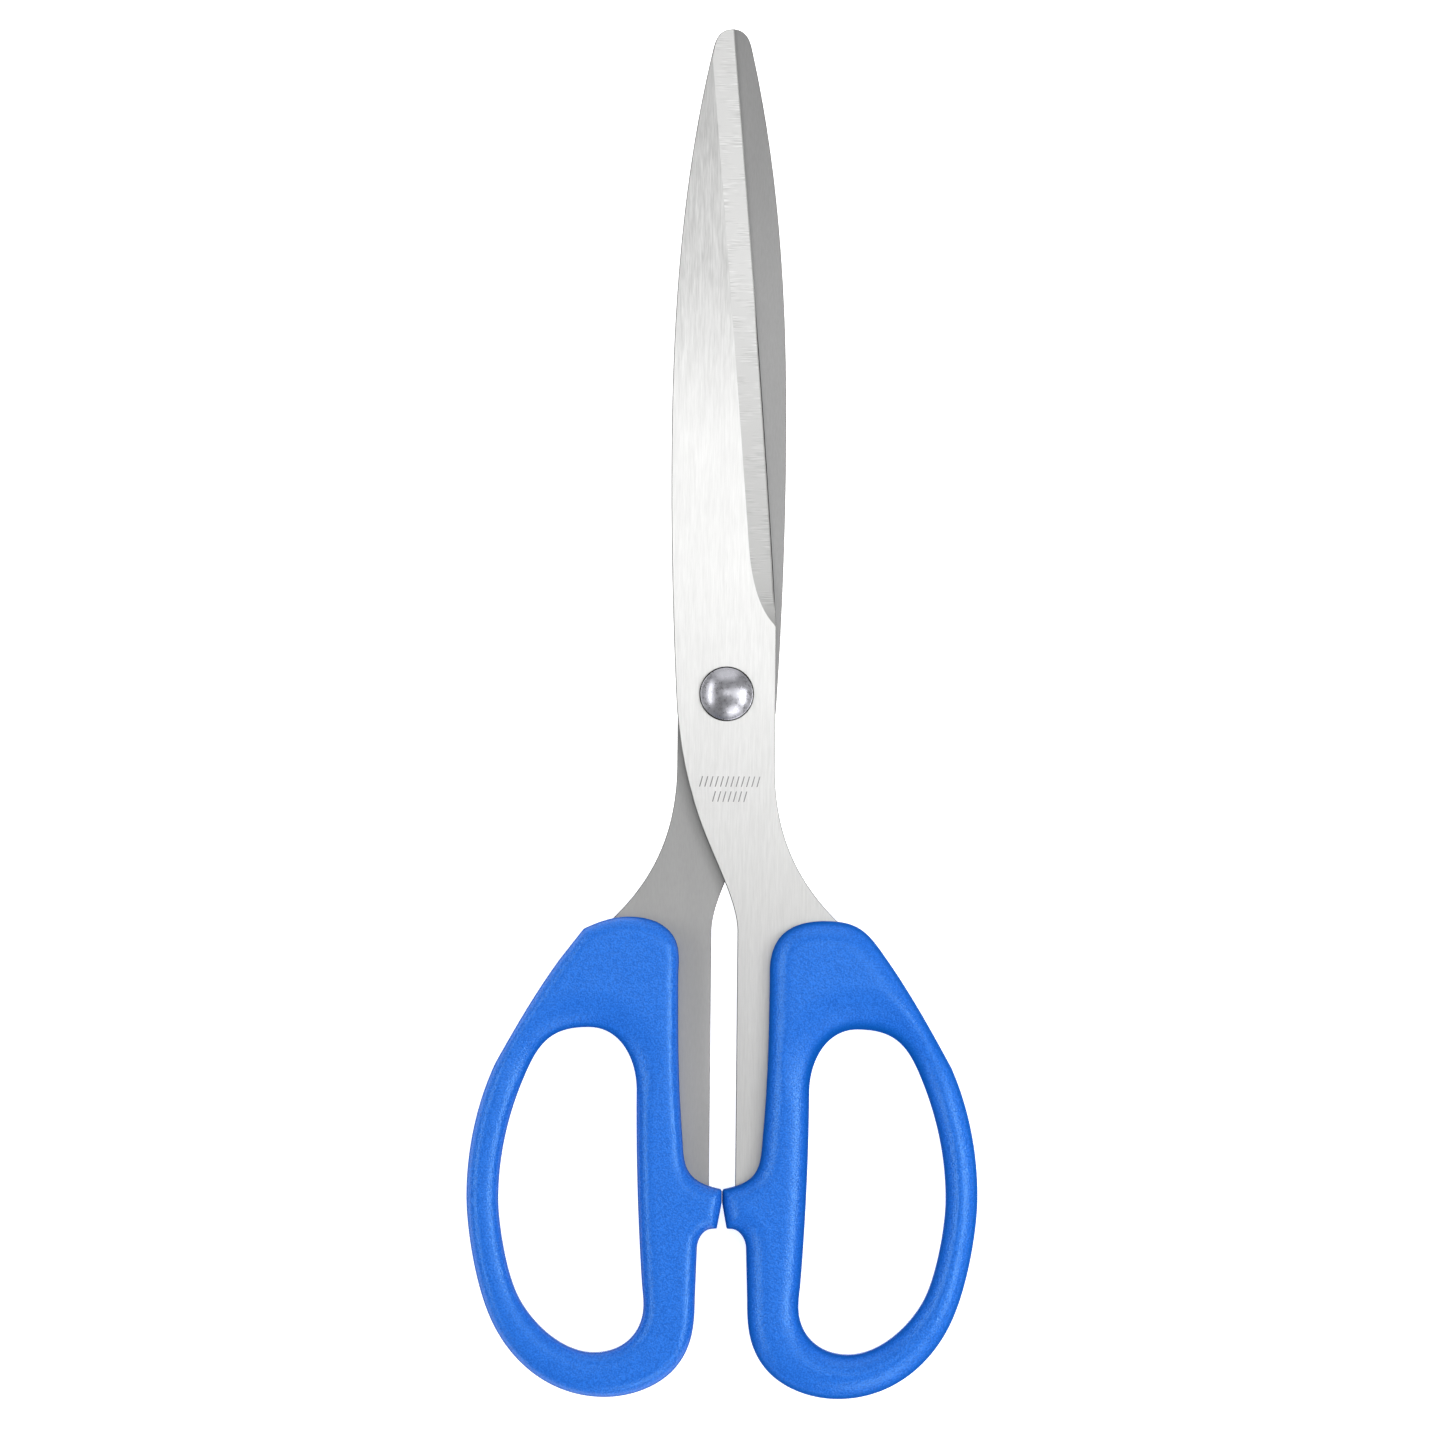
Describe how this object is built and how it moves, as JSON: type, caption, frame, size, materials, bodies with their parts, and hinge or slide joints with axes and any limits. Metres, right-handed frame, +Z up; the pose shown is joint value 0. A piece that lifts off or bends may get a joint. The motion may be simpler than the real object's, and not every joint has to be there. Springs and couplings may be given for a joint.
{
  "type": "office scissors",
  "caption": "Riveted steel office scissors with long ground blades and blue plastic finger-loop handles, lying closed.",
  "frame": {"origin": "middle of the closed scissors' outline, on the surface they lie on; the pivot is 3 mm ahead of it", "axes": "+Y along the closed blades to the tips, +X to the right handle, which is the front half's, +Z up through the rivet's domed head"},
  "size_m": [0.0784, 0.21, 0.009],
  "materials": {
    "blade_steel": "brushed along the blade, ground across the bevel",
    "handle_plastic": "satin with a fine moulded grain",
    "rivet_steel": "polished",
    "washer_steel": "satin"
  },
  "bodies": {
    "rear_half": {"rear_blade": "blade_steel", "rear_handle": "handle_plastic", "pivot_rivet": "rivet_steel", "rivet_washer": "washer_steel"},
    "front_half": {"front_blade": "blade_steel", "front_handle": "handle_plastic"}
  },
  "joints": [
    {"name": "pivot", "type": "hinge", "parent": "rear_half", "child": "front_half", "pos_m": [0, 0.003, 0.0045], "axis": [0, 0, 1], "range_deg": [0, 136]}
  ]
}
